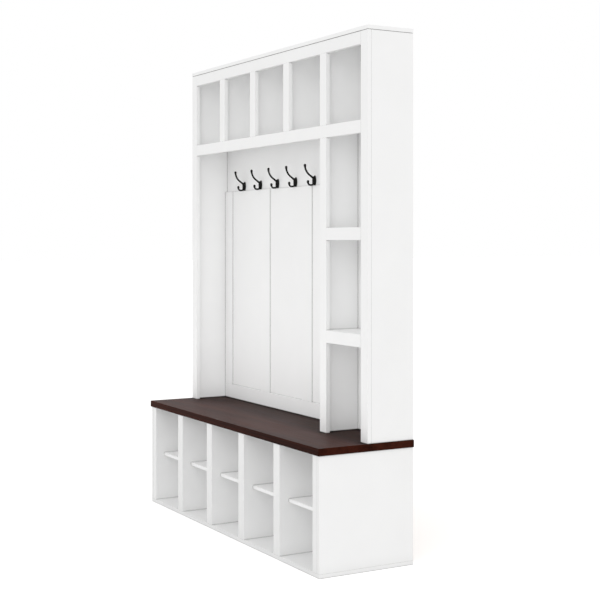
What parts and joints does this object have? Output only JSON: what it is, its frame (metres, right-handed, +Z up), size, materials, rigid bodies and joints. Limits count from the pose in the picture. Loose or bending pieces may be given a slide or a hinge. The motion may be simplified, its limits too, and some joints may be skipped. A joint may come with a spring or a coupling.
{
  "type": "hall tree with hooks",
  "caption": "Hall tree: a bench with open shoe cubbies under a dark seat, and a shallow hutch with hat cubbies, a panelled coat niche with double hooks, and a shelf column.",
  "frame": {"origin": "on the floor, under the middle of the whole piece's width and depth", "axes": "+X to the right as a person faces the open front, +Y to the back (the wall side), +Z up"},
  "size_m": [1.41, 0.377, 1.828],
  "materials": {
    "white_paint": "satin white paint on fibreboard, edges eased",
    "white_hardboard": "white coated hardboard",
    "espresso_wood": "dark espresso stain under semi-gloss lacquer",
    "black_metal": "satin black coated die casting",
    "black_screw": "black oxide screw",
    "beech_dowel": "plain beech",
    "zinc_cam_bolt": "zinc plated steel",
    "zinc_cam_disc": "die-cast zinc alloy",
    "zinc_screw": "zinc plated steel"
  },
  "bodies": {
    "root": {"assembly_screws": "zinc_screw", "back_panel_screws": "zinc_screw", "base_back_panel": "white_hardboard", "base_bottom_board": "white_paint", "base_divider_1": "white_paint", "base_divider_2": "white_paint", "base_divider_3": "white_paint", "base_divider_4": "white_paint", "base_shelf_1": "white_paint", "base_shelf_2": "white_paint", "base_shelf_3": "white_paint", "base_shelf_4": "white_paint", "base_shelf_5": "white_paint", "base_side_left": "white_paint", "base_side_right": "white_paint", "bench_top": "espresso_wood", "cam_bolts": "zinc_cam_bolt", "cam_discs": "zinc_cam_disc", "cap_board": "white_paint", "column_back_board": "white_paint", "column_divider": "white_paint", "column_rail_lower": "white_paint", "column_rail_upper": "white_paint", "column_shelf_lower": "white_paint", "column_shelf_upper": "white_paint", "column_stile": "white_paint", "cubby_divider_1": "white_paint", "cubby_divider_2": "white_paint", "cubby_divider_3": "white_paint", "cubby_divider_4": "white_paint", "cubby_floor": "white_paint", "cubby_stile_1": "white_paint", "cubby_stile_2": "white_paint", "cubby_stile_3": "white_paint", "cubby_stile_4": "white_paint", "hanging_rail": "white_paint", "hook_1": "black_metal", "hook_2": "black_metal", "hook_3": "black_metal", "hook_4": "black_metal", "hook_5": "black_metal", "hook_6": "black_metal", "hook_board": "white_paint", "hook_screws": "black_screw", "hutch_back_panel": "white_hardboard", "hutch_side_left": "white_paint", "hutch_side_right": "white_paint", "hutch_stile_left": "white_paint", "hutch_stile_right": "white_paint", "mid_rail": "white_paint", "top_rail": "white_paint", "wainscot_panel_1": "white_paint", "wainscot_panel_2": "white_paint", "wainscot_panel_3": "white_paint", "wainscot_rail": "white_paint", "wainscot_stile_1": "white_paint", "wainscot_stile_2": "white_paint", "wainscot_stile_3": "white_paint", "wainscot_stile_4": "white_paint", "wood_dowels": "beech_dowel"}
  },
  "joints": []
}
